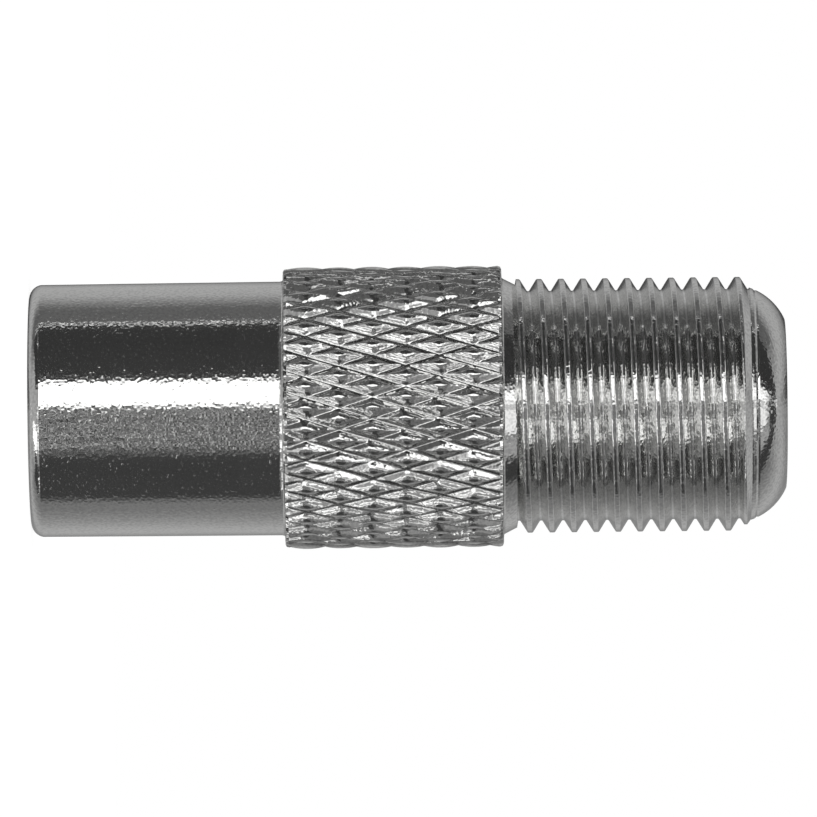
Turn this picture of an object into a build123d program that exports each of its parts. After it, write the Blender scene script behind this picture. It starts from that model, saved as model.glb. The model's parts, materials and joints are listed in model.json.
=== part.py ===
from build123d import *
import os
from math import ceil, cos, pi, sin

# Coaxial adapter: a threaded F jack at one end and a 9.5 mm push-in aerial plug at the other.
# It stands on its barrel. The origin is the centre of the barrel's rim and +Z runs up to the jack's nose.

# Outside of the body, from the rim up
barrel_radius = 4.7
barrel_length = 9.45
rim_round = 0.35
grip_radius = 5.25
grip_length = 8.14
neck_start_radius = 4.76
neck_end_radius = 4.53
neck_length = 0.5
thread_radius = 4.73
thread_length = 8.71
nose_root_radius = 4.33
nose_face_radius = 3.2
nose_length = 1.33
nose_curve_radius = 2.2

# Diamond knurl on the grip: raised points in rows half a spacing apart
knurl_points_around = 40
knurl_spacing = 2.485
knurl_depth = 0.25
knurl_overrun = 0.07
knurl_lead_in = 0.42

# Inside of the body
barrel_wall = 0.6
seat_depth = 10.2
core_bore_radius = 3.0
lip_opening_radius = 2.4
lip_thickness = 0.9
mouth_chamfer = 0.15

# Clearance on the radius between a pressed piece and its hole
fit_gap = 0.02

# Insulator that holds the pin in the barrel
flange_thickness = 1.2
hub_length = 1.0
pin_boss_radius = 2.2
pin_boss_height = 0.5
insulator_chamfer = 0.2

# Pin
pin_radius = 1.2
pin_recess = 0.6
pin_tip_round = 0.8
stem_radius = 1.4
collar_radius = 1.9
collar_thickness = 0.8
socket_radius = 0.9
socket_wall = 0.25
socket_depth = 3.0
socket_floor = 0.4

# Spring contact in the pin's socket
contact_wall = 0.18
contact_neck = 0.5
finger_length = 5.6
finger_slot = 0.24
grip_bore_radius = 0.4
grip_land = 1.2
finger_taper_start = 0.4
flare_length = 0.6
flare_rise = 0.22
seam_width = 0.12

# Insulator in the jack
chamber_radius = 1.35
contact_clearance = 0.6
entry_radius = 0.7
entry_mouth_radius = 1.3
entry_mouth_depth = 0.8
face_recess = 0.15

# Levels along the axis that the pieces share
grip_end = barrel_length + grip_length
thread_start = grip_end + neck_length
thread_end = thread_start + thread_length
total_length = thread_end + nose_length
barrel_bore_radius = barrel_radius - barrel_wall
lip_back = total_length - lip_thickness
flange_start = seat_depth - flange_thickness
boss_start = flange_start - pin_boss_height
hub_end = seat_depth + hub_length
collar_end = hub_end + collar_thickness
socket_start = collar_end + socket_floor
socket_end = socket_start + socket_depth
slot_start = socket_end + contact_neck
finger_end = slot_start + finger_length
chamber_end = finger_end + contact_clearance


def knurl_facets():
    """Flat facets of a knurled blank that is longer than the grip: raised points in rows, each with a small flat."""
    sides = 2 * knurl_points_around
    row_height = knurl_spacing / 2
    rows = ceil((grip_length + knurl_lead_in) / row_height)

    def outward(turn):
        return Vector(cos(2 * pi * turn / sides), sin(2 * pi * turn / sides), 0)

    def spot(turn, row, radius):
        return outward(turn) * radius + Vector(0, 0, barrel_length - knurl_lead_in + row * row_height)

    def valley(turn, row):
        return spot(turn, row, grip_radius - knurl_depth)

    def flat_corner(turn, row, step):
        """Where the ridge from the point's tip down to the next valley passes the grip's turned surface."""
        tip = spot(turn, row, grip_radius + knurl_overrun)
        ridge = valley(turn + step[0], row + step[1]) - tip
        return tip + ridge * (knurl_overrun / -ridge.dot(outward(turn)))

    def facet(*corners):
        return Face(Wire.make_polygon(corners, close=True))

    facets = []
    for row in range(rows + 1):
        outline = []
        for turn in range(sides):
            if (turn + row) % 2 == 0:
                outline.append(valley(turn, row))
                continue
            steps = [step for step in ((1, 0), (0, 1), (-1, 0), (0, -1)) if 0 <= row + step[1] <= rows]
            facets.append(facet(*[flat_corner(turn, row, step) for step in steps]))
            for along in ((0, 1), (0, -1)):
                for across in ((1, 0), (-1, 0)):
                    if along in steps:
                        facets.append(
                            facet(
                                valley(turn + across[0], row),
                                valley(turn, row + along[1]),
                                flat_corner(turn, row, along),
                                flat_corner(turn, row, across),
                            )
                        )
            outline += [flat_corner(turn, row, (-1, 0)), flat_corner(turn, row, (1, 0))]
        if row in (0, rows):
            facets.append(facet(*outline))
    return facets


# The body is knurled first, then the barrel and the neck are added and the bores are cut
with BuildPart() as body:
    add(Solid(Shell(knurl_facets())))
    split(bisect_by=Plane.XY.offset(barrel_length), keep=Keep.TOP)
    split(bisect_by=Plane.XY.offset(grip_end), keep=Keep.BOTTOM)
    with BuildSketch(Plane.XZ):
        Rectangle(barrel_radius, barrel_length, align=(Align.MIN, Align.MIN))
        fillet(vertices().group_by(Axis.X)[-1].sort_by(Axis.Y)[0], rim_round)
    revolve(axis=Axis.Z)
    with BuildSketch(Plane.XZ):
        with BuildLine():
            Polyline(
                (0, total_length),
                (0, grip_end),
                (neck_start_radius, grip_end),
                (neck_end_radius, thread_start),
                (thread_radius, thread_start),
                (thread_radius, thread_end - (thread_radius - nose_root_radius)),
                (nose_root_radius, thread_end),
            )
            RadiusArc((nose_root_radius, thread_end), (nose_face_radius, total_length), -nose_curve_radius)
            Line((nose_face_radius, total_length), (0, total_length))
        make_face()
    revolve(axis=Axis.Z)
    with BuildSketch(Plane.XZ):
        with BuildLine():
            Polyline(
                (0, 0),
                (barrel_bore_radius + mouth_chamfer, 0),
                (barrel_bore_radius, mouth_chamfer),
                (barrel_bore_radius, seat_depth),
                (core_bore_radius, seat_depth),
                (core_bore_radius, lip_back),
                (lip_opening_radius, lip_back),
                (lip_opening_radius, total_length),
                (0, total_length),
                close=True,
            )
        make_face()
    revolve(axis=Axis.Z, mode=Mode.SUBTRACT)
body.part.label = "body"
export_step(body.part, "parts/body.step")

# Disc and hub moulded in one, seated on the step in the body, with a low boss round the pin
with BuildPart() as pin_insulator:
    with BuildSketch(Plane.XY.offset(flange_start)):
        Circle(barrel_bore_radius - fit_gap)
    extrude(amount=flange_thickness)
    with BuildSketch(Plane.XY.offset(seat_depth)):
        Circle(core_bore_radius - fit_gap)
    extrude(amount=hub_length)
    chamfer(faces().sort_by(Axis.Z)[-1].edges(), insulator_chamfer)
    with BuildSketch(Plane.XY.offset(flange_start)):
        Circle(pin_boss_radius)
    extrude(amount=boss_start - flange_start)
    chamfer(faces().sort_by(Axis.Z)[0].edges(), insulator_chamfer)
    with BuildSketch(Plane.XY.offset(boss_start)):
        Circle(stem_radius + fit_gap)
    extrude(amount=hub_end - boss_start, mode=Mode.SUBTRACT)
pin_insulator.part.label = "pin_insulator"
export_step(pin_insulator.part, "parts/pin_insulator.step")

# Turned pin: round tip, shaft, thicker stem in the insulator, collar behind the hub and a socket at the back
with BuildPart() as centre_pin:
    with BuildSketch(Plane.XZ):
        with BuildLine():
            Polyline(
                (0, pin_recess),
                (pin_radius, pin_recess),
                (pin_radius, boss_start),
                (stem_radius, boss_start),
                (stem_radius, hub_end),
                (collar_radius, hub_end),
                (collar_radius, collar_end),
                (socket_radius + socket_wall, collar_end),
                (socket_radius + socket_wall, socket_end),
                (socket_radius, socket_end),
                (socket_radius, socket_start),
                (0, socket_start),
                close=True,
            )
        make_face()
        fillet(vertices().group_by(Axis.Y)[0].sort_by(Axis.X)[-1], pin_tip_round)
    revolve(axis=Axis.Z)
centre_pin.part.label = "centre_pin"
export_step(centre_pin.part, "parts/centre_pin.step")

# Spring strip rolled into a tube: four fingers close to a short gripping land and flare out at their tips
with BuildPart() as spring_contact:
    tube_radius = socket_radius - fit_gap
    land_radius = grip_bore_radius + contact_wall
    land_end = finger_end - flare_length
    with BuildSketch(Plane.XZ):
        with BuildLine():
            Polyline(
                (tube_radius - contact_wall, socket_start),
                (tube_radius, socket_start),
                (tube_radius, slot_start + finger_taper_start),
                (land_radius, land_end - grip_land),
                (land_radius, land_end),
                (land_radius + flare_rise, finger_end),
                (grip_bore_radius + flare_rise, finger_end),
                (grip_bore_radius, land_end),
                (grip_bore_radius, land_end - grip_land),
                (tube_radius - contact_wall, slot_start + finger_taper_start),
                close=True,
            )
        make_face()
    revolve(axis=Axis.Z)
    with BuildSketch(Plane.XY.offset(slot_start)):
        Rectangle(2 * tube_radius, finger_slot)
        Rectangle(finger_slot, 2 * tube_radius)
    extrude(amount=finger_length, mode=Mode.SUBTRACT)
    with BuildSketch(Plane.XY.offset(socket_start)):
        Rectangle(tube_radius, seam_width, align=(Align.MIN, Align.CENTER))
    extrude(amount=slot_start - socket_start, mode=Mode.SUBTRACT)
spring_contact.part.label = "spring_contact"
export_step(spring_contact.part, "parts/spring_contact.step")

# Sleeve that fills the jack: a chamber round the contact, then the entry hole with its funnel at the nose
with BuildPart() as nose_insulator:
    with BuildSketch(Plane.XY.offset(collar_end)):
        Circle(core_bore_radius - fit_gap)
    extrude(amount=lip_back - collar_end)
    chamfer(faces().sort_by(Axis.Z)[0].edges(), insulator_chamfer)
    with BuildSketch(Plane.XY.offset(lip_back)):
        Circle(lip_opening_radius - fit_gap)
    extrude(amount=lip_thickness - face_recess)
    with BuildSketch(Plane.XZ):
        with BuildLine():
            Polyline(
                (0, collar_end),
                (chamber_radius, collar_end),
                (chamber_radius, chamber_end - (chamber_radius - entry_radius)),
                (entry_radius, chamber_end),
                (entry_radius, total_length - face_recess - entry_mouth_depth),
                (entry_mouth_radius, total_length - face_recess),
                (0, total_length - face_recess),
                close=True,
            )
        make_face()
    revolve(axis=Axis.Z, mode=Mode.SUBTRACT)
nose_insulator.part.label = "nose_insulator"
export_step(nose_insulator.part, "parts/nose_insulator.step")
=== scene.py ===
import json
import math
import bmesh
import bpy
import numpy as np
from mathutils import Matrix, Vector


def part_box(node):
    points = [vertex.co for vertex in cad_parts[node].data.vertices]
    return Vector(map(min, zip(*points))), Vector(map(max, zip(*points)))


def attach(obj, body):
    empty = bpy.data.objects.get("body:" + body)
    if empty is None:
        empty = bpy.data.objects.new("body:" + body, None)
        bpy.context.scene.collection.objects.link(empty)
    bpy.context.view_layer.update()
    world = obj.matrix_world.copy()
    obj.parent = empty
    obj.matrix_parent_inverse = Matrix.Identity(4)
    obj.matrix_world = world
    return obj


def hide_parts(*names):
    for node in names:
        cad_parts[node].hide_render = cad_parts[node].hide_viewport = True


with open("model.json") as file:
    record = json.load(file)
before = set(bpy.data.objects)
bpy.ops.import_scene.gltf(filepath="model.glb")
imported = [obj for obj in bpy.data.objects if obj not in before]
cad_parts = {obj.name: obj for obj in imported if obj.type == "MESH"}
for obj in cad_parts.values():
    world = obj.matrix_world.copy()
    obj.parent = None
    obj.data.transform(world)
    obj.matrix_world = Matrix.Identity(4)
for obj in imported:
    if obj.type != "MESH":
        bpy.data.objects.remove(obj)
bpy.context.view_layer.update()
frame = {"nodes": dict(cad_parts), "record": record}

# A coaxial adapter in plated brass. It stands on the rim of its plug barrel, and +Z runs to the nose of
# its jack. Sizes are in metres, radii from the axis and heights from the rim. A value whose name ends in
# Edge is a list of steps in radius and height from a corner of a profile, in millimetres
millimetre = 0.001
mergeWithin = 2e-7
collapsedBelow = 1e-8
mounts = {mount["name"]: mount for mount in frame["record"]["mounts"]}


def mountRadius(name):
    # The radius that the record gives for a mount
    return mounts[name]["dims"]["r_mm"] * millimetre


def near(corner, steps):
    # Profile points at these steps from the corner
    return np.asarray(corner, float) + millimetre * np.asarray(steps, float)


def placed(radius, angle, height):
    # Each point is at its radius and angle round the axis, and at its height along it
    radius, angle, height = np.broadcast_arrays(radius, angle, height)
    return np.stack([radius * np.cos(angle), radius * np.sin(angle), height], axis=-1)


def cellCorners(rows, columns, across):
    # The points at the four corners of each cell of a grid. After the last column comes the first
    row, column = np.meshgrid(np.arange(rows - 1), np.arange(across), indexing="ij")
    low = row * columns + column
    beside = row * columns + (column + 1) % columns
    return low, beside, low + columns, beside + columns


def gridTriangles(rows, columns, closed=True):
    # Two triangles for each cell. A closed grid has cells between its last column and its first
    across = columns if closed else columns - 1
    low, beside, high, highBeside = cellCorners(rows, columns, across)
    first = np.stack([low, beside, highBeside], axis=-1)
    second = np.stack([low, highBeside, high], axis=-1)
    return np.concatenate([first.reshape(-1, 3), second.reshape(-1, 3)])


def turned(profile, count):
    # A turned surface: each (radius, height) of the profile is carried once round the axis
    profile = np.asarray(profile, float)
    angles = 2 * math.pi * np.arange(count) / count
    points = placed(profile[:, :1], angles[None, :], profile[:, 1:])
    return points.reshape(-1, 3), gridTriangles(len(profile), count)


def joined(lower, upper):
    # A band between two rings with the same number of points
    return np.concatenate([lower, upper]), gridTriangles(2, len(lower))


def fanned(coarse, fine):
    # A flat band between a ring and one with a whole number of times its points. Each coarse point has a
    # fan to the fine points nearest to it, and one more triangle fills the gap between two fans
    count, share = len(coarse), len(fine) // len(coarse)
    ring, step = np.meshgrid(np.arange(count), np.arange(share), indexing="ij")
    nearer = np.where(step < share / 2, ring, (ring + 1) % count)
    outer = ring * share + step
    fans = np.stack([nearer, count + outer, count + (outer + 1) % len(fine)], axis=-1).reshape(-1, 3)
    spot = np.arange(count)
    gaps = np.stack([spot, count + spot * share + share // 2, (spot + 1) % count], axis=-1)
    return np.concatenate([coarse, fine]), np.concatenate([fans, gaps])


def arc(start, end, radius, steps):
    # Points on the circle of this radius through both ends, its centre to the left of the way between them
    start, end = np.asarray(start, float), np.asarray(end, float)
    chord = end - start
    length = math.hypot(*chord)
    left = np.array([-chord[1], chord[0]]) / length
    centre = (start + end) / 2 + left * math.sqrt(radius**2 - (length / 2) ** 2)
    first = math.atan2(*(start - centre)[::-1])
    last = math.atan2(*(end - centre)[::-1])
    turn = (last - first + math.pi) % (2 * math.pi) - math.pi
    angles = first + turn * np.linspace(0, 1, steps + 1)
    return centre + radius * np.stack([np.cos(angles), np.sin(angles)], axis=-1)


def newMesh(name, points, triangles):
    mesh = bpy.data.meshes.new(name)
    mesh.from_pydata(points.tolist(), [], triangles.tolist())
    return mesh


def newObject(name, data):
    item = bpy.data.objects.new(name, data)
    bpy.context.scene.collection.objects.link(item)
    return item


def softenEdges(mesh, lowest, highest, widest):
    # Edges between the two heights and within the radius are shaded smooth, whatever their angle
    spots = np.empty(len(mesh.vertices) * 3)
    mesh.vertices.foreach_get("co", spots)
    spots = spots.reshape(-1, 3)
    ends = np.empty(len(mesh.edges) * 2, dtype=int)
    mesh.edges.foreach_get("vertices", ends)
    ends = ends.reshape(-1, 2)
    height = spots[:, 2][ends]
    radius = np.hypot(spots[:, 0], spots[:, 1])[ends]
    soft = ((height > lowest) & (height < highest) & (radius < widest)).all(axis=1)
    sharp = mesh.attributes["sharp_edge"]
    marks = np.empty(len(mesh.edges), dtype=bool)
    sharp.data.foreach_get("value", marks)
    marks[soft] = False
    sharp.data.foreach_set("value", marks)


def makePiece(name, patches, material, node, creaseAngle, softZones=()):
    # All patches become one mesh, whose shared points are merged and whose faces then point outwards
    offsets = np.cumsum([0] + [len(points) for points, _ in patches[:-1]])
    points = np.concatenate([points for points, _ in patches])
    triangles = np.concatenate([faces + offset for (_, faces), offset in zip(patches, offsets)])
    mesh = newMesh(name, points, triangles)
    work = bmesh.new()
    work.from_mesh(mesh)
    bmesh.ops.remove_doubles(work, verts=work.verts, dist=mergeWithin)
    bmesh.ops.dissolve_degenerate(work, edges=work.edges, dist=collapsedBelow)
    bmesh.ops.recalc_face_normals(work, faces=work.faces)
    openEdges = sum(1 for edge in work.edges if len(edge.link_faces) != 2)
    work.to_mesh(mesh)
    work.free()
    mesh.shade_smooth()
    mesh.set_sharp_from_angle(angle=math.radians(creaseAngle))
    for zone in softZones:
        softenEdges(mesh, *zone)
    mesh.materials.append(material)
    piece = newObject(name, mesh)
    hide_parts(node)
    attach(piece, "root")
    print(name, "triangles", len(mesh.polygons), "edges without two faces", openEdges)


def newMaterial(name):
    # A material with one shader, and the place of each point on the object for its patterns
    material = bpy.data.materials.new(name)
    material.use_nodes = True
    nodes, links = material.node_tree.nodes, material.node_tree.links
    shader = nodes["Principled BSDF"]
    place = nodes.new("ShaderNodeTexCoord")
    return material, nodes, links, shader, place.outputs["Object"]


def noiseField(nodes, links, place, scale, detail, stretch=(1, 1, 1)):
    # Noise over the piece's own coordinates, with its scale in cells to a metre
    mapping = nodes.new("ShaderNodeMapping")
    mapping.inputs["Scale"].default_value = stretch
    links.new(place, mapping.inputs["Vector"])
    noise = nodes.new("ShaderNodeTexNoise")
    noise.inputs["Scale"].default_value = scale
    noise.inputs["Detail"].default_value = detail
    noise.inputs["Roughness"].default_value = 0.55  # share of its strength that each finer layer keeps
    links.new(mapping.outputs["Vector"], noise.inputs["Vector"])
    return noise.outputs["Fac"]


def ranged(nodes, links, value, span, low, high):
    # From low to high in a straight line while the value crosses the span, and level beyond it
    remap = nodes.new("ShaderNodeMapRange")
    remap.inputs["From Min"].default_value = span[0]
    remap.inputs["From Max"].default_value = span[1]
    remap.inputs["To Min"].default_value = low
    remap.inputs["To Max"].default_value = high
    links.new(value, remap.inputs["Value"])
    return remap.outputs["Result"]


def combined(nodes, links, operation, first, second):
    # The product or the larger of two values
    result = nodes.new("ShaderNodeMath")
    result.operation = operation
    links.new(first, result.inputs[0])
    links.new(second, result.inputs[1])
    return result.outputs["Value"]


def toned(nodes, links, shader, value, span, low, high):
    # The base colour goes from one tone to the other while the value crosses the span
    tone = nodes.new("ShaderNodeMix")
    tone.data_type = "RGBA"
    tone.inputs["A"].default_value = low
    tone.inputs["B"].default_value = high
    links.new(ranged(nodes, links, value, span, 0, 1), tone.inputs["Factor"])
    links.new(tone.outputs["Result"], shader.inputs["Base Color"])


def roughened(nodes, links, shader, value, span, low, high):
    # The roughness goes from one value to the other in the same way
    links.new(ranged(nodes, links, value, span, low, high), shader.inputs["Roughness"])


def bumped(nodes, links, shader, heightFields):
    # Each field is a (value, height in metres) pair, and their bumps are chained
    normal = None
    for value, height in heightFields:
        bump = nodes.new("ShaderNodeBump")
        bump.inputs["Strength"].default_value = 1.0
        bump.inputs["Distance"].default_value = height
        links.new(value, bump.inputs["Height"])
        if normal is not None:
            links.new(normal, bump.inputs["Normal"])
        normal = bump.outputs["Normal"]
    links.new(normal, shader.inputs["Normal"])


# Satin nickel plate: pits and a few raised grains from one fine speckle, slow waves, and turning marks
nickelFinish = {
    "light": (0.70, 0.70, 0.69, 1),
    "dark": (0.58, 0.58, 0.575, 1),
    "toneSpan": (0.3, 0.6),
    "roughLow": 0.05,
    "roughHigh": 0.13,
    "roughSpan": (0.35, 0.65),
    "speckleScale": 9000,
    "speckleDetail": 0,
    "speckleHeight": 0.000005,
    "grainSpan": (0.7, 0.84),
    "grainHeight": 0.0000025,
    "waveScale": 2200,
    "waveDetail": 2,
    "waveHeight": 0.0000012,
    "gripWave": 2.0,  # height of the waves on the grip, over that on the rest
    "gripFrom": (0.0094, 0.0096),
    "gripTo": (0.0174, 0.0176),
    "turningScale": 9000,
    "turningDetail": 2,
    "turningStretch": (0.02, 0.02, 1),
    "turningHeight": 0.0000004,
    "turningRest": 0.2,  # share of the turning marks that is left past the barrel
    "turningTo": (0.0092, 0.0094),
}


def makeNickel(name, finish):
    material, nodes, links, shader, place = newMaterial(name)
    split = nodes.new("ShaderNodeSeparateXYZ")
    links.new(place, split.inputs["Vector"])
    height = split.outputs["Z"]
    speckle = noiseField(nodes, links, place, finish["speckleScale"], finish["speckleDetail"])
    toned(nodes, links, shader, speckle, finish["toneSpan"], finish["dark"], finish["light"])
    roughened(nodes, links, shader, speckle, finish["roughSpan"], finish["roughHigh"], finish["roughLow"])
    grain = ranged(nodes, links, speckle, finish["grainSpan"], 0, 1)
    # Pressing the knurl leaves the grip less even than the rest
    wave = noiseField(nodes, links, place, finish["waveScale"], finish["waveDetail"])
    rise = ranged(nodes, links, height, finish["gripFrom"], 1 / finish["gripWave"], 1)
    fall = ranged(nodes, links, height, finish["gripTo"], finish["gripWave"], 1)
    wave = combined(nodes, links, "MULTIPLY", wave, combined(nodes, links, "MULTIPLY", fall, rise))
    # The turning marks are clear on the plug's barrel and faint where knurl and thread were pressed and cut
    turning = noiseField(
        nodes, links, place, finish["turningScale"], finish["turningDetail"], finish["turningStretch"]
    )
    share = ranged(nodes, links, height, finish["turningTo"], 1, finish["turningRest"])
    turning = combined(nodes, links, "MULTIPLY", turning, share)
    heightFields = [
        (speckle, finish["speckleHeight"]),
        (grain, finish["grainHeight"]),
        (wave, finish["waveHeight"]),
        (turning, finish["turningHeight"]),
    ]
    bumped(nodes, links, shader, heightFields)
    shader.inputs["Metallic"].default_value = 1.0
    return material


# Moulded white plastic: faint clouds, a fine grain, and light that sinks in a little
plasticFinish = {
    "light": (0.84, 0.84, 0.80, 1),
    "dark": (0.78, 0.775, 0.73, 1),
    "toneSpan": (0.35, 0.7),
    "roughLow": 0.36,
    "roughHigh": 0.5,
    "roughSpan": (0.3, 0.7),
    "cloudScale": 900,
    "cloudHeight": 0.000004,
    "cloudDetail": 3,
    "grainScale": 9000,
    "grainDetail": 2,
    "grainHeight": 0.0000012,
    "lightDepth": (0.0006, 0.0005, 0.0004),
    "lightShare": 0.15,
}


def makePlastic(name, finish):
    material, nodes, links, shader, place = newMaterial(name)
    cloud = noiseField(nodes, links, place, finish["cloudScale"], finish["cloudDetail"])
    grain = noiseField(nodes, links, place, finish["grainScale"], finish["grainDetail"])
    toned(nodes, links, shader, cloud, finish["toneSpan"], finish["light"], finish["dark"])
    roughened(nodes, links, shader, grain, finish["roughSpan"], finish["roughLow"], finish["roughHigh"])
    bumped(nodes, links, shader, [(grain, finish["grainHeight"]), (cloud, finish["cloudHeight"])])
    shader.inputs["Subsurface Weight"].default_value = finish["lightShare"]
    shader.inputs["Subsurface Radius"].default_value = finish["lightDepth"]
    return material


# Bare spring bronze with a fine grain
bronzeFinish = {
    "light": (0.80, 0.62, 0.38, 1),
    "dark": (0.62, 0.44, 0.24, 1),
    "toneSpan": (0.3, 0.65),
    "roughLow": 0.22,
    "roughHigh": 0.38,
    "roughSpan": (0.3, 0.7),
    "grainScale": 12000,
    "grainDetail": 3,
    "grainHeight": 0.000001,
}


def makeBronze(name, finish):
    material, nodes, links, shader, place = newMaterial(name)
    grain = noiseField(nodes, links, place, finish["grainScale"], finish["grainDetail"])
    toned(nodes, links, shader, grain, finish["toneSpan"], finish["dark"], finish["light"])
    roughened(nodes, links, shader, grain, finish["roughSpan"], finish["roughHigh"], finish["roughLow"])
    bumped(nodes, links, shader, [(grain, finish["grainHeight"])])
    shader.inputs["Metallic"].default_value = 1.0
    return material


nickel = makeNickel("nickelPlate", nickelFinish)
plastic = makePlastic("whitePlastic", plasticFinish)
bronze = makeBronze("springBronze", bronzeFinish)
print("materials ready")

# The body, turned, knurled and threaded from one bar
body = {
    "barrelRadius": mountRadius("plug_barrel"),
    "barrelLength": 9.45 * millimetre,
    "barrelSwell": 0.03 * millimetre,
    "rimRound": 0.42 * millimetre,
    "rimCurve": 1.25,  # radius of the rim's arc, over rimRound
    "rimCount": 8,
    "rimGap": 0.03 * millimetre,  # from the rim's arc to the next ring
    "shoulderEdge": ((0, -0.18), (0, -0.12), (0.015, -0.05), (0.06, 0)),
    "boreRadius": 4.1 * millimetre,
    "boreRing": 5.0 * millimetre,  # an extra ring in the long bore
    "mouthChamfer": 0.15 * millimetre,
    "seatDepth": 10.2 * millimetre,
    "coreRadius": 3.0 * millimetre,
    "gripRadius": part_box("body")[1].x,
    "gripLength": 8.14 * millimetre,
    "gripRound": 0.14 * millimetre,
    "neckStartRadius": 4.76 * millimetre,
    "neckEndRadius": 4.53 * millimetre,
    "neckLength": 0.5 * millimetre,
    "neckEdge": ((0.05, 0), (0, 0.05)),
    "threadRadius": mountRadius("jack_thread"),
    "threadLength": 8.71 * millimetre,
    "noseRootRadius": 4.33 * millimetre,
    "noseRootGap": 0.03 * millimetre,  # from the thread's end to the nose's curve
    "noseFaceRadius": 3.2 * millimetre,
    "noseFaceEdge": ((0, -0.02), (-0.05, 0)),
    "noseCurve": 2.2 * millimetre,
    "noseCount": 44,
    "noseEnd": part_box("body")[1].z,
    "markUp": 0.22 * millimetre,  # of a shallow tool mark round the nose, from the thread's end
    "markHalf": 0.07 * millimetre,  # half its width
    "markDepth": 0.04 * millimetre,
    "lipRadius": 2.4 * millimetre,
    "lipThickness": 0.9 * millimetre,
    "lipEdge": ((0.08, 0), (0.02, -0.02), (0, -0.08)),
    "around": 160,  # a quarter of the knurl's columns
    "creaseAngle": 13,
}
knurl = {
    "pointsAround": 40,
    "spacing": 2.485 * millimetre,
    "rightHandDepth": 0.22 * millimetre,
    "leftHandDepth": 0.18 * millimetre,
    "fade": 1.9,  # the power by which the cut fades between a groove and a point
    "land": 0.06,  # share of a point that is left uncut
    "grooveRound": 0.055,  # over spacing
    "wear": 0.16,  # share of its depth by which a groove rises and falls
    "wearAround": (7, 11),  # for the right-hand set, then the left-hand set
    "wearAlong": (2.9, 4.1),
    "leadIn": 0.42 * millimetre,  # how far the pattern starts before the grip
    "cells": 16,  # columns to a point, and rows to a spacing
    "endRows": (0, 0.3, 1),  # rows in the rounded ends, over gripRound
    "innerRows": 1.2,  # where the even rows start, over gripRound
    "softFrom": 1.1,  # where creases in the grooves are softened, over gripRound
    "softBelow": 0.11 * millimetre,  # and how deep below gripRadius a groove is before they are
}
thread = {
    "pitch": 0.821 * millimetre,
    "depth": 0.45 * millimetre,
    "crestFlat": 0.08,  # this and the next two are half widths, over pitch
    "rootFlat": 0.02,
    "cornerRound": 0.03,
    "roundRows": (0, 0.7, 1.4, 2.1),  # rows in a rounded corner, over cornerRound
    "crestHeight": 18.170 * millimetre,
    "crestAngle": math.pi,
    "endChamfer": 0.3 * millimetre,
    "spareTurns": 2,  # drawn in at either end
    "step": 0.04 * millimetre,  # from the neck's end to where the thread's helix starts
    "softFrom": 1.5,  # where the thread's creases are softened, over step
}
gripEnd = body["barrelLength"] + body["gripLength"]
threadStart = gripEnd + body["neckLength"]
threadEnd = threadStart + body["threadLength"]
lipBack = body["noseEnd"] - body["lipThickness"]


def knurlRadius(angle, height):
    # A right-hand and a left-hand set of grooves cross, the first one deeper. From each groove's small
    # round the cut fades as a power of the distance, steep at the groove, and ends at a small uncut land in
    # the middle of each point. Where the two sets meet the deeper cut holds, and both ends of the grip are
    # rounded. Wear makes the depth of each set rise and fall slowly, as a sine of some turns round the grip
    # plus a drift along it
    turns = knurl["pointsAround"] * angle / (2 * math.pi)
    along = (height - body["barrelLength"] + knurl["leadIn"]) / knurl["spacing"]
    bottom = knurl["grooveRound"]
    deepest = 0
    sets = ((turns - along, knurl["rightHandDepth"]), (turns + along, knurl["leftHandDepth"]))
    for (phase, depth), around, drift in zip(sets, knurl["wearAround"], knurl["wearAlong"]):
        away = np.hypot(phase - np.round(phase), bottom) - bottom
        share = np.clip(away / (math.hypot(0.5, bottom) - bottom) / (1 - knurl["land"]), 0, 1)
        worn = 1 + knurl["wear"] * np.sin(around * angle + drift * along)
        deepest = np.maximum(deepest, depth * worn * (1 - share) ** knurl["fade"])
    radius = body["gripRadius"] - deepest
    fromEnd = np.minimum(height - body["barrelLength"], gripEnd - height)
    missing = np.clip(1 - fromEnd / body["gripRound"], 0, 1)
    return radius - body["gripRound"] * (1 - np.sqrt(1 - missing**2))


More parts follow.
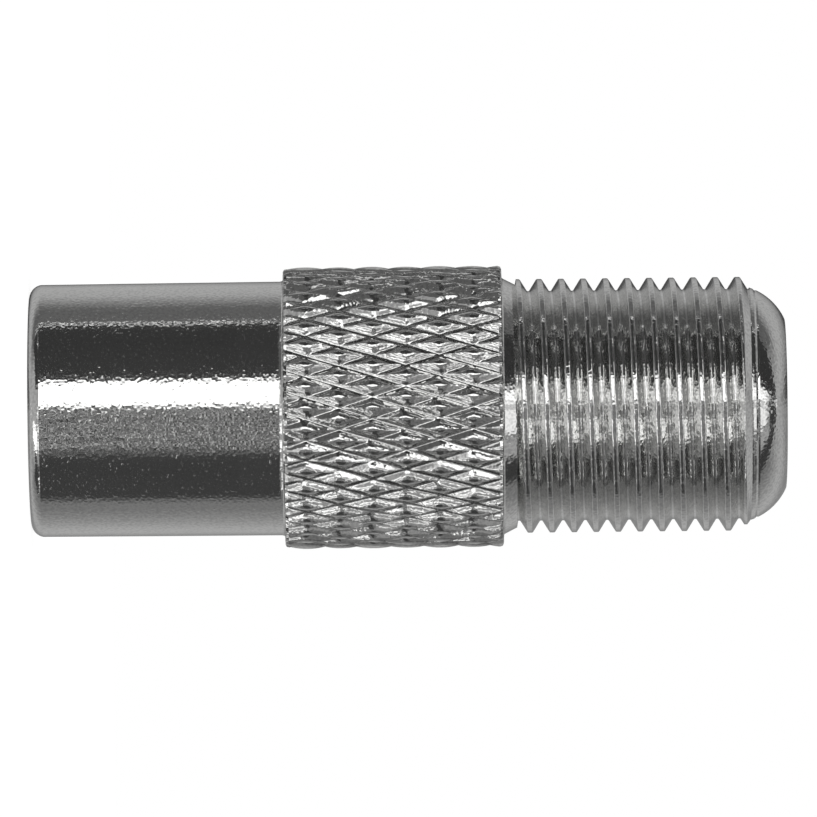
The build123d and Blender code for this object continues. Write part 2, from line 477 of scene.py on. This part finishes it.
def knurlPatch():
    # A grid of angles and heights whose diagonals follow the grooves, so that no groove is cut across. In
    # each cell the diagonal is along the set of grooves that passes nearer to the cell's middle
    columns = knurl["pointsAround"] * knurl["cells"]
    rowStep = knurl["spacing"] / knurl["cells"]
    bottom = body["barrelLength"]
    rows = int((body["gripLength"] + knurl["leadIn"]) / rowStep)
    levels = bottom - knurl["leadIn"] + rowStep * np.arange(1, rows + 1)
    ends = body["gripRound"] * np.array(knurl["endRows"])
    inner = body["gripRound"] * knurl["innerRows"]
    inside = levels[(levels > bottom + inner) & (levels < gripEnd - inner)]
    levels = np.concatenate([bottom + ends, inside, gripEnd - ends[::-1]])
    angles = 2 * math.pi * np.arange(columns) / columns
    height, angle = np.meshgrid(levels, angles, indexing="ij")
    points = placed(knurlRadius(angle, height), angle, height).reshape(-1, 3)
    low, beside, high, highBeside = cellCorners(len(levels), columns, columns)
    row, column = np.divmod(low, columns)
    middleTurn = (column + 0.5) / knurl["cells"]
    middleAlong = (0.5 * (levels[row] + levels[row + 1]) - bottom + knurl["leadIn"]) / knurl["spacing"]
    toLeftHand = np.abs(middleTurn + middleAlong - np.round(middleTurn + middleAlong))
    toRightHand = np.abs(middleTurn - middleAlong - np.round(middleTurn - middleAlong))
    falling = (toLeftHand < toRightHand)[..., None]
    fallingFirst = np.stack([low, beside, high], axis=-1)
    fallingSecond = np.stack([beside, highBeside, high], axis=-1)
    risingFirst = np.stack([low, beside, highBeside], axis=-1)
    risingSecond = np.stack([low, highBeside, high], axis=-1)
    first = np.where(falling, fallingFirst, risingFirst)
    second = np.where(falling, fallingSecond, risingSecond)
    triangles = np.concatenate([first.reshape(-1, 3), second.reshape(-1, 3)])
    return points, triangles, points[:columns], points[-columns:]


def threadRadius(angle, height):
    # The radius depends only on how far a point is from the crest, counted in pitches along the helix:
    # a narrow flat crest, straight flanks and a flat root, with the corners blended by parabolas.
    # A cone cuts the last turn down to the nose
    helix = (angle - thread["crestAngle"]) / (2 * math.pi)
    turns = (height - thread["crestHeight"]) / thread["pitch"] - helix
    away = np.abs(turns - np.round(turns))
    crest, root, blend = thread["crestFlat"], thread["rootFlat"], thread["cornerRound"]
    slope = 1 / (0.5 - root - crest - 2 * blend)
    fromRoot = 0.5 - away
    share = 1 - slope * (away - crest - blend)
    share = np.where(away < crest + 2 * blend, 1 - slope * (away - crest) ** 2 / (4 * blend), share)
    share = np.where(away < crest, 1.0, share)
    share = np.where(fromRoot < root + 2 * blend, slope * (fromRoot - root) ** 2 / (4 * blend), share)
    share = np.where(fromRoot < root, 0.0, share)
    radius = body["threadRadius"] - thread["depth"] * (1 - share)
    drop = (body["threadRadius"] - body["noseRootRadius"]) / thread["endChamfer"]
    cone = body["noseRootRadius"] + drop * (threadEnd - height)
    return np.minimum(radius, np.maximum(cone, body["noseRootRadius"]))


def threadPatch():
    # A grid whose rows climb one pitch in each turn. What lies past either end is drawn in to its plane
    count, pitch = body["around"], thread["pitch"]
    start = threadStart + thread["step"]
    crest, rootFrom = thread["crestFlat"], 0.5 - thread["rootFlat"]
    rounded = thread["cornerRound"] * np.array(thread["roundRows"])
    half = np.concatenate([[0], crest + rounded, [(crest + rootFrom) / 2], rootFrom - rounded[::-1]])
    spread = np.concatenate([half, [0.5], 1 - half[:0:-1]])
    turns = int((threadEnd - start) / pitch) + 2 * thread["spareTurns"]
    phase = (np.arange(turns)[:, None] + spread[None, :]).ravel()
    first = thread["crestHeight"] - thread["spareTurns"] * pitch
    angles = 2 * math.pi * np.arange(count + 1) / count
    height = first + pitch * (phase[:, None] + (angles[None, :] - thread["crestAngle"]) / (2 * math.pi))
    height = np.clip(height, start, threadEnd)
    angle = np.broadcast_to(angles[None, :], height.shape)
    points = placed(threadRadius(angle, height), angle, height).reshape(-1, 3)
    triangles = gridTriangles(len(phase), count + 1, closed=False)
    ring = angles[:count]
    lower = placed(threadRadius(ring, start), ring, start)
    upper = placed(threadRadius(ring, threadEnd), ring, threadEnd)
    return points, triangles, lower, upper


def makeBody():
    # One closed surface: turned profiles for the barrel, for the neck, and for the nose with the bores, are
    # joined ring to ring with the grids of the knurl and the thread
    count = body["around"]
    barrel, bore, rim = body["barrelRadius"], body["boreRadius"], body["rimRound"]
    chamfer, shoulder, swell = body["mouthChamfer"], body["barrelLength"], body["barrelSwell"]
    outside = np.concatenate([
        [(bore + chamfer, 0)],
        arc((barrel - rim, 0), (barrel, rim), body["rimCurve"] * rim, body["rimCount"]),
        [(barrel, rim + body["rimGap"]), (barrel + 0.5 * swell, 0.5 * shoulder)],
        near((barrel + swell, shoulder), body["shoulderEdge"]),
    ])
    neck = np.concatenate([
        near((body["neckStartRadius"], gripEnd), body["neckEdge"]),
        [(body["neckEndRadius"], threadStart)],
    ])
    # The nose's curve has a shallow tool mark, whose depth falls off evenly to both sides
    end = body["noseEnd"]
    root = (body["noseRootRadius"], threadEnd + body["noseRootGap"])
    faceEdge = near((body["noseFaceRadius"], end), body["noseFaceEdge"])
    curve = arc(root, faceEdge[0], body["noseCurve"], body["noseCount"])
    fromMark = np.abs(curve[:, 1] - (threadEnd + body["markUp"]))
    curve[:, 0] -= body["markDepth"] * np.clip(1 - fromMark / body["markHalf"], 0, 1)
    lip, core, seat = body["lipRadius"], body["coreRadius"], body["seatDepth"]
    nose = np.concatenate([
        curve,
        faceEdge[1:],
        near((lip, end), body["lipEdge"]),
        [(lip, lipBack), (core, lipBack), (core, seat), (bore, seat)],
        [(bore, body["boreRing"]), (bore, chamfer), (bore + chamfer, 0)],
    ])
    knurlPoints, knurlTriangles, knurlLow, knurlHigh = knurlPatch()
    threadPoints, threadTriangles, threadLow, threadHigh = threadPatch()
    outsideRings = turned(outside, count)
    neckRings = turned(neck, count)
    noseRings = turned(nose, count)
    patches = [
        outsideRings,
        fanned(outsideRings[0][-count:], knurlLow),
        (knurlPoints, knurlTriangles),
        fanned(neckRings[0][:count], knurlHigh),
        neckRings,
        joined(neckRings[0][-count:], threadLow),
        (threadPoints, threadTriangles),
        joined(threadHigh, noseRings[0][:count]),
        noseRings,
    ]
    # Creases in the knurl's grooves and on the thread are shaded smooth
    fromEdge = knurl["softFrom"] * body["gripRound"]
    fromNeck = thread["softFrom"] * thread["step"]
    softZones = [
        (shoulder + fromEdge, gripEnd - fromEdge, body["gripRadius"] - knurl["softBelow"]),
        (threadStart + fromNeck, threadEnd - thread["step"], body["gripRadius"]),
    ]
    makePiece("bodyShell", patches, nickel, "body", body["creaseAngle"], softZones)


makeBody()

# The plug's pin, with its round tip, the stem in the insulator and the collar behind it
pin = {
    "radius": mountRadius("plug_pin"),
    "tip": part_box("centre_pin")[0].z,
    "tipRound": 0.8 * millimetre,
    "tipCount": 10,
    "stemRadius": 1.4 * millimetre,
    "stemStart": 8.5 * millimetre,
    "collarRadius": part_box("centre_pin")[1].x,
    "collarStart": 11.2 * millimetre,
    "collarEnd": 12.0 * millimetre,
    "socketRadius": 0.9 * millimetre,
    "socketWall": 0.25 * millimetre,
    "socketStart": 12.4 * millimetre,
    "socketEnd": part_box("centre_pin")[1].z,
    "around": 96,
    "creaseAngle": 30,
}


def makePin():
    # A turned profile, from the middle of the tip up the outside and down into the socket
    radius, tip, rounding = pin["radius"], pin["tip"], pin["tipRound"]
    stem, collar, socket = pin["stemRadius"], pin["collarRadius"], pin["socketRadius"]
    outer = socket + pin["socketWall"]
    profile = np.concatenate([
        [(0, tip)],
        arc((radius - rounding, tip), (radius, tip + rounding), rounding, pin["tipCount"]),
        [(radius, pin["stemStart"]), (stem, pin["stemStart"]), (stem, pin["collarStart"])],
        [(collar, pin["collarStart"]), (collar, pin["collarEnd"])],
        [(outer, pin["collarEnd"]), (outer, pin["socketEnd"]), (socket, pin["socketEnd"])],
        [(socket, pin["socketStart"]), (0, pin["socketStart"])],
    ])
    patches = [turned(profile, pin["around"])]
    makePiece("plugPin", patches, nickel, "centre_pin", pin["creaseAngle"])


makePin()

# The disc and hub that hold the pin, with a moulded boss and a shallow ring in the face towards the rim
holder = {
    "flangeRadius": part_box("pin_insulator")[1].x,
    "flangeStart": 9.0 * millimetre,
    "flangeEnd": 10.2 * millimetre,
    "flangeEdge": ((-0.03, 0), (0, 0.03)),
    "ringEdge": ((-0.55, 0), (-0.48, 0.06), (-0.30, 0.06), (-0.23, 0)),
    "bossRadius": 2.2 * millimetre,
    "bossStart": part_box("pin_insulator")[0].z,
    "footEdge": ((0.02, -0.04), (0.08, 0)),
    "hubRadius": 2.98 * millimetre,
    "hubEnd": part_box("pin_insulator")[1].z,
    "holeRadius": 1.42 * millimetre,
    "chamfer": 0.2 * millimetre,
    "around": 128,
    "creaseAngle": 30,
}


def makeHolder():
    # A turned profile, from the pin's hole out over the boss and the flange, and back over the hub
    boss, hub, hole = holder["bossRadius"], holder["hubRadius"], holder["holeRadius"]
    start, end, chamfer = holder["bossStart"], holder["hubEnd"], holder["chamfer"]
    flange, face, back = holder["flangeRadius"], holder["flangeStart"], holder["flangeEnd"]
    profile = np.concatenate([
        [(hole, start), (boss - chamfer, start), (boss, start + chamfer)],
        near((boss, face), holder["footEdge"]),
        near((flange, face), holder["ringEdge"]),
        near((flange, face), holder["flangeEdge"]),
        [(flange, back), (hub, back), (hub, end - chamfer), (hub - chamfer, end)],
        [(hole, end), (hole, start)],
    ])
    patches = [turned(profile, holder["around"])]
    makePiece("pinHolder", patches, plastic, "pin_insulator", holder["creaseAngle"])


makeHolder()

# The sleeve behind the nose, with the funnel that leads the cable's conductor to the spring contact
sleeve = {
    "radius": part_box("nose_insulator")[1].x,
    "start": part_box("nose_insulator")[0].z,
    "chamfer": 0.2 * millimetre,
    "bossRadius": 2.38 * millimetre,
    "bossEnd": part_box("nose_insulator")[1].z,
    "bossEdge": ((0, -0.06), (-0.06, 0)),
    "mouthRadius": 1.3 * millimetre,
    "mouthDepth": 0.8 * millimetre,
    "mouthEdge": ((0.06, 0), (0, -0.02), (-0.04, -0.07)),
    "entryRadius": mountRadius("conductor_entry"),
    "entryEdge": ((0.02, 0.02), (0, -0.03)),
    "chamberRadius": 1.35 * millimetre,
    "chamberEnd": 22.1 * millimetre,
    "around": 128,
    "creaseAngle": 30,
}


def makeSleeve():
    # A turned profile, from the chamber out and up to the nose, and down the funnel, the entry and a cone
    # as tall as it is wide
    outer, start, chamfer = sleeve["radius"], sleeve["start"], sleeve["chamfer"]
    boss, mouth, end = sleeve["bossRadius"], sleeve["mouthRadius"], sleeve["bossEnd"]
    entry, chamber, chamberEnd = sleeve["entryRadius"], sleeve["chamberRadius"], sleeve["chamberEnd"]
    profile = np.concatenate([
        [(chamber, start), (outer - chamfer, start), (outer, start + chamfer)],
        [(outer, lipBack), (boss, lipBack)],
        near((boss, end), sleeve["bossEdge"]),
        near((mouth, end), sleeve["mouthEdge"]),
        near((entry, end - sleeve["mouthDepth"]), sleeve["entryEdge"]),
        [(entry, chamberEnd), (chamber, chamberEnd - (chamber - entry)), (chamber, start)],
    ])
    patches = [turned(profile, sleeve["around"])]
    makePiece("noseSleeve", patches, plastic, "nose_insulator", sleeve["creaseAngle"])


makeSleeve()

# The spring contact keeps its own mesh and takes the bronze
contact = frame["nodes"]["spring_contact"]
contact.data.materials.clear()
contact.data.materials.append(bronze)
print("pieces ready")

# White floor, part paint and part glow, as in a product picture
floorLook = {
    "radius": 0.12,
    "points": 96,
    "paint": (0.9, 0.9, 0.9, 1),
    "glow": 1.1,
    "glowShare": 0.8,
}


def makeFloor():
    # A flat disc that glossy rays pass through, so that metal reflects only the tent
    mesh = bpy.data.meshes.new("floor")
    work = bmesh.new()
    bmesh.ops.create_circle(work, cap_ends=True, segments=floorLook["points"], radius=floorLook["radius"])
    work.to_mesh(mesh)
    work.free()
    material = bpy.data.materials.new("floorWhite")
    material.use_nodes = True
    nodes, links = material.node_tree.nodes, material.node_tree.links
    nodes.clear()
    paint = nodes.new("ShaderNodeBsdfDiffuse")
    paint.inputs["Color"].default_value = floorLook["paint"]
    glow = nodes.new("ShaderNodeEmission")
    glow.inputs["Strength"].default_value = floorLook["glow"]
    lit = nodes.new("ShaderNodeMixShader")
    lit.inputs["Fac"].default_value = floorLook["glowShare"]
    links.new(paint.outputs["BSDF"], lit.inputs[1])
    links.new(glow.outputs["Emission"], lit.inputs[2])
    ray = nodes.new("ShaderNodeLightPath")
    clear = nodes.new("ShaderNodeBsdfTransparent")
    seen = nodes.new("ShaderNodeMixShader")
    links.new(ray.outputs["Is Glossy Ray"], seen.inputs["Fac"])
    links.new(lit.outputs["Shader"], seen.inputs[1])
    links.new(clear.outputs["BSDF"], seen.inputs[2])
    output = nodes.new("ShaderNodeOutputMaterial")
    links.new(seen.outputs["Shader"], output.inputs["Surface"])
    mesh.materials.append(material)
    floor = newObject("floor", mesh)


makeFloor()

# The studio: a white backdrop and an even light, with a tent of cards round the object that only metal
# reflects. Each card has its name, its angles in degrees from the front towards -X, its climbs (the height
# over the distance, from -1 straight down to 1 straight up), its glow, and how wide its soft edges are in
# angle and in climb. Later cards lie over earlier ones
studio = {
    "evenLight": 0.95,
    "tentRadius": 0.36,
    "tentRows": 160,
    "tentColumns": 720,
    "tentGlow": 0.50,
    "openAbove": 0.999,  # the climb at which the tent is left open, and below at minus that
    "foilAngle": 9.0,
    "foilClimb": 0.14,
    "cards": [
        ("upper shade behind", (158, 190), (-0.9, 0.9), 0.28, (16, 0.2)),
        ("lower shade behind", (-190, -158), (-0.9, 0.9), 0.28, (16, 0.2)),
        ("dark strip behind", (168, 180), (-0.9, 0.9), 0.07, (6, 0.2)),
        ("shaded grey above", (66, 117), (-0.9, 0.9), 0.15, (22, 0.2)),
        ("shaded grey below", (-121, -72), (-0.9, 0.9), 0.24, (36, 0.2)),
        ("black above", (24, 84.5), (-0.75, 1.1), 0.045, (0.6, 0.05)),
        ("slit", (84.6, 85.8), (-0.6, 0.6), 1.6, (0.6, 0.1)),
        ("black below", (-90, 4), (-0.8, 1.1), 0.055, (8, 0.05)),
        ("grey to the right", (46, 84), (0.14, 0.5), 0.13, (10, 0.05)),
        ("grey to the left", (26, 84), (-0.5, -0.14), 0.13, (10, 0.05)),
        ("short strip to the right", (60, 64.5), (0.24, 0.5), 1.2, (2, 0.04)),
        ("short strip to the left", (65, 69), (-0.5, -0.26), 1.0, (2, 0.04)),
        ("low grey to the right", (-84, -12), (0.14, 0.6), 0.2, (10, 0.05)),
        ("low grey to the left", (-88, -56), (-0.5, -0.14), 0.25, (10, 0.05)),
        ("glow to the right", (-60, 14), (0.26, 0.6), 0.36, (5, 0.05)),
        ("first strip to the right", (2, 7), (0.28, 0.6), 1.6, (2, 0.04)),
        ("second strip to the right", (-19, -12), (0.28, 0.6), 1.5, (2, 0.04)),
        ("third strip to the right", (-34, -29), (0.28, 0.6), 1.2, (2, 0.04)),
        ("glow to the left", (-56, 24), (-0.62, -0.2), 0.42, (5, 0.05)),
        ("far glow to the right", (-6, 6), (0.6, 0.94), 0.7, (4, 0.04)),
        ("far glow to the left", (-20, 24), (-0.94, -0.64), 0.5, (4, 0.04)),
        ("far glow below to the right", (-62, -38), (0.64, 0.94), 0.45, (5, 0.04)),
        ("far low lamp to the right", (-34, -4), (0.62, 0.94), 1.2, (5, 0.04)),
        ("far low lamp to the left", (-46, -20), (-0.94, -0.64), 2.0, (5, 0.04)),
        ("first strip to the left", (-7, 0), (-0.6, -0.17), 1.7, (2, 0.03)),
        ("second strip to the left", (-22, -15), (-0.6, -0.17), 1.8, (2, 0.03)),
        ("third strip to the left", (-38, -30), (-0.6, -0.17), 1.7, (2, 0.03)),
        ("fourth strip to the left", (-55, -49), (-0.46, -0.24), 1.2, (2, 0.03)),
        ("fifth strip to the left", (-69, -62), (-0.48, -0.28), 1.6, (2, 0.03)),
        ("sixth strip to the left", (-81, -75), (-0.48, -0.26), 1.5, (2, 0.03)),
        ("crumpled foil", (-38, 6), (-0.2, 0.2), 0.2, (10, 0.04)),
        ("edge of the long lamp", (3, 26.6), (-0.33, 0.3), 0.8, (0.6, 0.04)),
        ("long lamp", (3, 26.6), (-0.19, 0.19), 1.9, (0.6, 0.04)),
        ("wide lamp to the right", (21, 42), (0.3, 0.6), 1.9, (3, 0.03)),
        ("far lamp to the right", (4, 19), (0.6, 0.94), 1.6, (5, 0.03)),
    ],
}


def between(value, low, high, soft):
    # 1 inside the range and 0 outside it, with a straight ramp as wide as soft across each end
    return np.clip((value - low) / soft + 0.5, 0, 1) * np.clip((high - value) / soft + 0.5, 0, 1)


def tentBrightness(angle, climb):
    # Each card hides what is behind it by its share, which is 1 within its ranges. On the crumpled foil the
    # glow is times the square of 1 plus a ripple, which is a cosine of the angle times one of the climb
    glow = np.full(angle.shape, studio["tentGlow"])
    for name, angles, climbs, shade, (softAngle, softClimb) in studio["cards"]:
        share = between(angle, *angles, softAngle) * between(climb, *climbs, softClimb)
        if name == "crumpled foil":
            ripple = np.cos(2 * math.pi * angle / studio["foilAngle"])
            ripple = ripple * np.cos(2 * math.pi * climb / studio["foilClimb"])
            shade = shade * (1 + ripple) ** 2
        glow = glow * (1 - share) + shade * share
    return glow


def makeTent():
    # Part of a sphere: each point lies in the direction of its angle and climb, and keeps its card's glow
    top = studio["openAbove"]
    climbs = np.linspace(-top, top, studio["tentRows"])
    angles = np.linspace(-180, 180, studio["tentColumns"], endpoint=False)
    climb, angle = np.meshgrid(climbs, angles, indexing="ij")
    flat = np.sqrt(1 - climb**2)
    turn = np.radians(angle)
    ways = np.stack([-flat * np.sin(turn), -flat * np.cos(turn), climb], axis=-1)
    points = studio["tentRadius"] * ways
    points[..., 2] += body["noseEnd"] / 2
    mesh = newMesh("studioTent", points.reshape(-1, 3), gridTriangles(len(climbs), len(angles)))
    glow = mesh.attributes.new("glow", "FLOAT", "POINT")
    glow.data.foreach_set("value", tentBrightness(angle, climb).ravel().astype(np.float32))
    material = bpy.data.materials.new("tentCards")
    material.use_nodes = True
    material.cycles.emission_sampling = "NONE"
    nodes, links = material.node_tree.nodes, material.node_tree.links
    nodes.clear()
    brightness = nodes.new("ShaderNodeAttribute")
    brightness.attribute_name = "glow"
    emission = nodes.new("ShaderNodeEmission")
    links.new(brightness.outputs["Fac"], emission.inputs["Strength"])
    output = nodes.new("ShaderNodeOutputMaterial")
    links.new(emission.outputs["Emission"], output.inputs["Surface"])
    mesh.materials.append(material)
    tent = newObject("studioTent", mesh)
    tent.visible_camera = False
    tent.visible_diffuse = False
    tent.visible_transmission = False
    tent.visible_volume_scatter = False
    tent.visible_shadow = False


makeTent()


def makeBackdrop():
    # White where the camera, metal or glass sees it, and an even light for everything else
    world = bpy.data.worlds.new("backdrop")
    bpy.context.scene.world = world
    world.use_nodes = True
    nodes, links = world.node_tree.nodes, world.node_tree.links
    nodes.clear()
    ray = nodes.new("ShaderNodeLightPath").outputs
    seen = combined(nodes, links, "MAXIMUM", ray["Is Camera Ray"], ray["Is Glossy Ray"])
    seen = combined(nodes, links, "MAXIMUM", seen, ray["Is Transmission Ray"])
    strength = ranged(nodes, links, seen, (0, 1), studio["evenLight"], 1.0)
    background = nodes.new("ShaderNodeBackground")
    background.inputs["Color"].default_value = (1, 1, 1, 1)
    links.new(strength, background.inputs["Strength"])
    output = nodes.new("ShaderNodeOutputWorld")
    links.new(background.outputs["Background"], output.inputs["Surface"])


makeBackdrop()

# The picture's side view: +Z runs to the right and -X is up, with the right end a little high
picture = {
    "size": 817,
    "pixel": 0.0373 * millimetre,  # what one pixel covers of the object
    "distance": 0.45,
    "axisRise": 0.0105,  # how far the axis climbs in the picture, over how far it runs
    "centrePixel": (408.0, 407.0),
    "sensor": 36.0,
    "seenFrom": 0.01,
    "seenTo": 5.0,
}


def makeCamera():
    # Right, up and back are the camera's own axes, turned by the tilt of the object's axis in the picture.
    # It looks at the object's middle from its distance, moved so that this falls on the centre pixel
    camera = bpy.data.cameras.new("camera")
    camera.sensor_width = picture["sensor"]
    camera.lens = picture["sensor"] * picture["distance"] / (picture["size"] * picture["pixel"])
    camera.clip_start = picture["seenFrom"]
    camera.clip_end = picture["seenTo"]
    tilt = math.atan(picture["axisRise"])
    right = np.array([math.sin(tilt), 0, math.cos(tilt)])
    up = np.array([-math.cos(tilt), 0, math.sin(tilt)])
    back = np.array([0, -1, 0])
    half = picture["size"] / 2
    moveRight = (half - picture["centrePixel"][0]) * picture["pixel"]
    moveUp = (picture["centrePixel"][1] - half) * picture["pixel"]
    middle = np.array([0, 0, body["noseEnd"] / 2])
    place = middle + moveRight * right + moveUp * up + picture["distance"] * back
    matrix = np.eye(4)
    matrix[:3] = np.stack([right, up, back, place], axis=-1)
    eye = newObject("camera", camera)
    eye.matrix_world = Matrix(matrix.tolist())
    bpy.context.scene.camera = eye


makeCamera()
bpy.context.scene.view_settings.view_transform = "Standard"
print("studio and camera ready")
